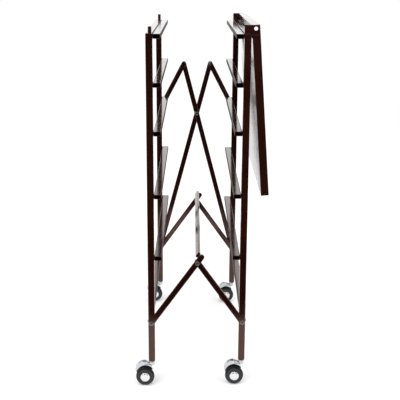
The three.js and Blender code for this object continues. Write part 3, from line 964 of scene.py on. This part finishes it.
class RACK_OT_hinge(bpy.types.Operator):
    """Hinge cheeks on the right posts and the bright pins that they hold."""

    bl_idname = "rack.hinge"
    bl_label = "Panel hinge"

    def execute(self, context):
        for end in ENDS:
            self.cheek(end)
            self.pin(end)
        return {"FINISHED"}

    def cheek(self, end):
        """Plate that stands on the post and hangs over its outer face."""
        node = f"hinge_cheek_{end}"
        a, b = low(node), high(node)
        post_edge = a.x + TUBE + 0.2 * MM
        seat = POST_TOP + 0.05 * MM

        def ring(inset, y):
            reach = CHEEK_ROUND - inset
            points = [(a.x + inset, seat + inset * 0.2), (post_edge + inset, seat + inset * 0.2),
                      (post_edge + inset, a.z + inset)]
            for centre_z, start in ((a.z + CHEEK_ROUND, -QUARTER), (b.z - CHEEK_ROUND, 0)):
                points += arc(b.x - CHEEK_ROUND, centre_z, reach, start, QUARTER, 6)
            points += [(a.x + CHEEK_CHAMFER, b.z - inset), (a.x + inset, b.z - CHEEK_CHAMFER)]
            return [(x, y, z) for x, z in points]

        e = CHEEK_SOFTENING
        bm = bmesh.new()
        loft(bm, [ring(e, a.y), ring(0, a.y + e), ring(0, b.y - e), ring(e, b.y)])
        place_piece(finish_mesh(bm, f"cheek_{end}"), "right_frame", [node], stove_enamel)

    def pin(self, end):
        """Pin with a low domed cap on its outer end."""
        node = f"hinge_pin_{end}"
        front, back = low(node).y, high(node).y
        out, sign = (front, 1) if end == "near" else (back, -1)
        outline = [(TINY, out)]
        for r, depth in ((2.0, 0.1), (3.6, 0.5), (4.6, 1.1), (5.1, 1.8), (5.1, 2.8)):
            outline.append((r * MM, out + sign * depth * MM))
        inner = out + sign * (back - front)
        outline += [(PIN_STEM, outline[-1][1]), (PIN_STEM, inner), (TINY, inner)]
        bm = bmesh.new()
        turned(bm, outline[::sign], middle(node), segments=32)
        place_piece(finish_mesh(bm, f"pin_{end}", 50), "right_frame", [node], nylon_cap, even_faces=False)


# ---- operators: casters


LYING = Matrix.Rotation(math.radians(90), 4, "X")  # turns a shape's own Z axis along Y


def round_cutter(wheel, radius, end):
    """Cutting cylinder round the wheel's axis, up to the given distance behind its middle."""
    bm = bmesh.new()
    place = Matrix.Translation((wheel.x, wheel.y + end - CUTTER_LENGTH / 2, wheel.z)) @ LYING
    bmesh.ops.create_cone(bm, cap_ends=True, segments=96, radius1=radius, radius2=radius,
                          depth=CUTTER_LENGTH, matrix=place)
    return bm


def carve(bm, cutters, name):
    """Take the cutters' space out of a closed mesh."""

    def stand_in(source, label):
        mesh = bpy.data.meshes.new(label)
        source.to_mesh(mesh)
        source.free()
        holder = bpy.data.objects.new(label, mesh)
        bpy.context.scene.collection.objects.link(holder)
        return holder

    body = stand_in(bm, name + "_solid")
    tools = [stand_in(cutter, name + "_cutter") for cutter in cutters]
    for tool in tools:
        cut = body.modifiers.new("cut", "BOOLEAN")
        cut.operation = "DIFFERENCE"
        cut.solver = "EXACT"
        cut.object = tool
    shaped = bpy.data.meshes.new_from_object(body.evaluated_get(bpy.context.evaluated_depsgraph_get()))
    for holder in (body, *tools):
        bpy.data.objects.remove(holder)
    result = bmesh.new()
    result.from_mesh(shaped)
    return result


class RACK_OT_casters(bpy.types.Operator):
    """Ball casters: chrome hood and stem, moulded tyre, bright domed hub cap."""

    bl_idname = "rack.casters"
    bl_label = "Casters"

    def execute(self, context):
        for side in SIDES:
            for end in ENDS:
                self.caster(f"caster_{side}_{end}", POST[side, end])
        return {"FINISHED"}

    def caster(self, name, post):
        wheel = middle(f"{name}_tyre")
        size = high(f"{name}_tyre") - low(f"{name}_tyre")
        self.tyre(name, wheel, size.z / 2, size.y / 2)
        self.hub(name, wheel, size.y / 2)
        self.hood(name, wheel, post)

    def tyre(self, name, wheel, radius, half_width):
        """Rounded tread, a shallow step in each wall and a moulded bead round the hub."""
        # each row: beyond the hub or short of the tread, and in from the wall's plane, in millimetres
        walls = [(HUB_RADIUS + r * MM, h * MM) for r, h in ((0, 2), (0.8, 0.8), (2.4, 0.2), (3.2, 1.2))]
        walls += [(radius - r * MM, h * MM) for r, h in ((7, 1.0), (5.6, 0), (3, 0.9), (1.2, 3), (0.3, 6))]
        profile = [(r, -half_width + h) for r, h in walls] + [(radius, 0)]
        profile += [(r, -h) for r, h in reversed(profile[:-1])]
        segments = 56
        turns = [math.tau * i / segments for i in range(segments)]
        bm = bmesh.new()
        loft(bm, [[(wheel.x + r * math.cos(t), wheel.y + h, wheel.z - r * math.sin(t)) for t in turns]
                  for r, h in profile], closed=True)
        # the tread's faces keep the near-black finish, partly their own colour and partly painted shade from
        # the hood over them; faces nearer the hub take the lighter wheel-side finish
        for face in bm.faces:
            spot = face.calc_center_median() - wheel
            if math.hypot(spot.x, spot.z) < radius - TREAD_DEPTH:
                face.material_index = 1
        place_piece(finish_mesh(bm, f"{name}_wheel_tyre", 60), f"{name}_wheel", [f"{name}_tyre"],
                    tyre_tread_and_shade, wheel_wall, even_faces=False)

    def hub(self, name, wheel, half_width):
        """Pressed cap with a rolled rim, and the axle behind it."""
        front, back = low(f"{name}_hub").y, high(f"{name}_hub").y
        wall = wheel.y + half_width
        outline = [(TINY, front)]
        outline += [(r * MM, front + h * MM) for r, h in ((4, 0.1), (8, 0.4), (10.8, 0.9), (11.8, 1.6),
                                                          (12.4, 1.5), (13.3, 1.7))]
        outline += [(CAP_RADIUS, front + 2.4 * MM), (CAP_RADIUS, wall - 1.4 * MM)]
        outline += [(13.2 * MM, wall - 1.0 * MM), (3.2 * MM, wall - 1.0 * MM), (3.0 * MM, back), (TINY, back)]
        bm = bmesh.new()
        turned(bm, outline, wheel, segments=40)
        place_piece(finish_mesh(bm, f"{name}_cap", 45), f"{name}_wheel", [f"{name}_hub"], chrome_plate,
                    even_faces=False)

    def hood(self, name, wheel, post):
        """Chrome half-dome cut away round the wheel, with an arm to the swivel boss and the stem above it."""
        ball = bmesh.new()
        bmesh.ops.create_uvsphere(ball, u_segments=72, v_segments=40, radius=HOOD_RADIUS,
                                  matrix=Matrix.Translation(wheel + HOOD_OFFSET) @ LYING)
        front = round_cutter(wheel, CUTTER_RADIUS, HOOD_FRONT)
        well = round_cutter(wheel, WELL_RADIUS, WELL_END)
        bm = carve(ball, [front, well], name)
        edges = [e for e in bm.edges if len(e.link_faces) == 2 and e.calc_face_angle(0) > math.radians(50)]
        bmesh.ops.bevel(bm, geom=edges, offset=HOOD_EDGE, segments=2, affect="EDGES", clamp_overlap=True)
        self.boss(bm, post)
        self.arm(bm, wheel, post)
        cover = finish_mesh(bm, f"{name}_cover", 40)
        place_piece(cover, name, [f"{name}_hood"], hood_plate, even_faces=False)

    def boss(self, bm, post):
        """Swivel boss with rounded edges, and the stem from it into the post."""
        outline = [(TINY, BOSS_BOTTOM), (6.0 * MM, BOSS_BOTTOM), (7.4 * MM, BOSS_BOTTOM + 0.8 * MM),
                   (BOSS_RADIUS, BOSS_BOTTOM + 2.2 * MM), (BOSS_RADIUS, BOSS_TOP - 2 * MM),
                   (7.4 * MM, BOSS_TOP - 0.6 * MM), (6.4 * MM, BOSS_TOP), (STEM_RADIUS, BOSS_TOP),
                   (STEM_RADIUS, POST_FOOT + STEM_REACH - 0.4 * MM), (TINY, POST_FOOT + STEM_REACH)]
        turned(bm, outline, post, axis="Z", segments=36)

    def arm(self, bm, wheel, post):
        """Waisted arm that narrows from the dome to the swivel boss."""
        start = wheel.x - 1 * MM
        rings = []
        for i in range(ARM_STEPS + 1):
            t = i / ARM_STEPS
            x, y = start + (post.x - start) * t, post.y + 1.5 * MM * (1 - t)
            wide, tall = (ARM_WIDE - ARM_WAIST * math.sin(math.pi * t)) * MM, (ARM_TALL - 1.2 * t) * MM
            rings.append([(x, y + u, ARM_HEIGHT + v) for u, v in rounded_rect(wide, tall, ARM_CORNER)])
        loft(bm, rings)


# ---- operators: stage


class RACK_OT_stage(bpy.types.Operator):
    """Pale seamless floor, soft studio light and the camera."""

    bl_idname = "rack.stage"
    bl_label = "Stage"

    def execute(self, context):
        scene = context.scene
        mesh = bpy.data.meshes.new("studio_floor")
        x, near, far = PAPER_HALF, PAPER_NEAR, PAPER_FAR
        mesh.from_pydata([(-x, near, 0), (x, near, 0), (x, far, 0), (-x, far, 0)], [], [(0, 1, 2, 3)])
        floor = bpy.data.objects.new("studio_floor", mesh)
        mesh.materials.append(material(studio_paper))
        scene.collection.objects.link(floor)
        self.surroundings(scene)
        for name, place, size, power in LAMPS:
            light = bpy.data.lights.new(name, "AREA")
            light.size = size
            light.energy = power
            lamp = bpy.data.objects.new(name, light)
            lamp.location = place
            lamp.rotation_euler = (LAMP_AIM - Vector(place)).to_track_quat("-Z", "Y").to_euler()
            scene.collection.objects.link(lamp)
        sun = bpy.data.lights.new("overhead", "SUN")
        sun.energy = SUN_STRENGTH
        sun.angle = SUN_ANGLE
        scene.collection.objects.link(bpy.data.objects.new("overhead", sun))
        scene.view_settings.view_transform = "Standard"
        self.camera(scene)
        return {"FINISHED"}

    def bands(self, tree, value, stops):
        """Shade of grey along a direction's coordinate, from -1 to 1."""
        node = tree.nodes.new("ShaderNodeValToRGB")
        ramp = node.color_ramp
        for at, shade in stops:
            stop = ramp.elements.new(at)
            stop.color = (shade, shade, shade, 1)
        ramp.elements.remove(ramp.elements[0])
        ramp.elements.remove(ramp.elements[-1])
        tree.links.new(spread(tree, value, -1, 1, 0, 1), node.inputs["Fac"])
        return node.outputs["Color"]

    def surroundings(self, scene):
        """Plain white, but what gloss mirrors is banded: lamps with dark gaps, and dark below the horizon."""
        world = bpy.data.worlds.new("studio")
        scene.world = world
        world.use_nodes = True
        tree = world.node_tree
        background = tree.nodes["Background"]
        place = tree.nodes.new("ShaderNodeTexCoord").outputs["Generated"]
        split = add_node(tree, "ShaderNodeSeparateXYZ", [(place, "Vector")]).outputs
        shade = self.bands(tree, split["Z"], WALL_BANDS)
        # dark gaps between the lamps on the near side give the chrome its streaks
        gaps = self.bands(tree, split["X"], LAMP_GAPS)
        front_side = spread(tree, split["Y"], -0.25, 0.1, 1, 0)
        overhead = spread(tree, split["Z"], 0.5, 0.6, 0, 1)
        near_or_above = calculate(tree, "MAXIMUM", front_side, overhead)
        for share, band in ((near_or_above, gaps), (front_side, self.bands(tree, split["Z"], FRONT_BANDS))):
            mixed = add_node(tree, "ShaderNodeMix", [(share, 0), (band, 3)], data_type="FLOAT")
            mixed.inputs[2].default_value = 1.0
            shade = calculate(tree, "MULTIPLY", shade, mixed.outputs[0])
        shade = calculate(tree, "MULTIPLY", shade, WALL_STRENGTH)
        glossy = tree.nodes.new("ShaderNodeLightPath").outputs["Is Glossy Ray"]
        mirrored = calculate(tree, "MULTIPLY", glossy, shade)
        plain = calculate(tree, "SUBTRACT", 1.0, glossy)
        tree.links.new(calculate(tree, "ADD", mirrored, plain), background.inputs["Strength"])
        background.inputs["Color"].default_value = (1, 1, 1, 1)

    def camera(self, scene):
        data = bpy.data.cameras.new("camera")
        data.sensor_width = 36
        data.lens = CAMERA_LENS
        camera = bpy.data.objects.new("camera", data)
        across, ahead = math.sin(CAMERA_YAW), math.cos(CAMERA_YAW)
        level = math.cos(CAMERA_PITCH)
        forward = Vector((across * level, ahead * level, -math.sin(CAMERA_PITCH)))
        right = Vector((ahead, -across, 0))
        down = forward.cross(right)
        c, s = math.cos(CAMERA_ROLL), math.sin(CAMERA_ROLL)
        turn = Matrix((c * right + s * down, s * right - c * down, -forward)).transposed()
        camera.matrix_world = Matrix.Translation(CAMERA_PLACE) @ turn.to_4x4()
        scene.collection.objects.link(camera)
        scene.camera = camera


# ---- panel and registration

STEPS = (
    RACK_OT_posts,
    RACK_OT_rails,
    RACK_OT_rungs,
    RACK_OT_nubs,
    RACK_OT_sockets,
    RACK_OT_spreaders,
    RACK_OT_scissor,
    RACK_OT_rivets,
    RACK_OT_panel,
    RACK_OT_hinge,
    RACK_OT_casters,
    RACK_OT_stage,
)


class RACK_PT_panel(bpy.types.Panel):
    bl_idname = "RACK_PT_panel"
    bl_label = "Clothes rack"
    bl_space_type = "VIEW_3D"
    bl_region_type = "UI"
    bl_category = "Clothes rack"

    def draw(self, context):
        for group in (context.scene.rack_sizes, context.scene.rack_colours):
            box = self.layout.box()
            for name in group.bl_rna.properties.keys():
                if name not in ("rna_type", "name"):
                    box.prop(group, name)
        for step in STEPS:
            self.layout.operator(step.bl_idname)


CLASSES = (RackSizes, RackColours, *STEPS, RACK_PT_panel)


def register():
    for cls in CLASSES:
        bpy.utils.register_class(cls)
    bpy.types.Scene.rack_sizes = bpy.props.PointerProperty(type=RackSizes)
    bpy.types.Scene.rack_colours = bpy.props.PointerProperty(type=RackColours)


def unregister():
    del bpy.types.Scene.rack_colours
    del bpy.types.Scene.rack_sizes
    for cls in reversed(CLASSES):
        bpy.utils.unregister_class(cls)


def main():
    register()
    for step in STEPS:
        group, name = step.bl_idname.split(".")
        getattr(getattr(bpy.ops, group), name)()


if __name__ == "__main__":
    main()
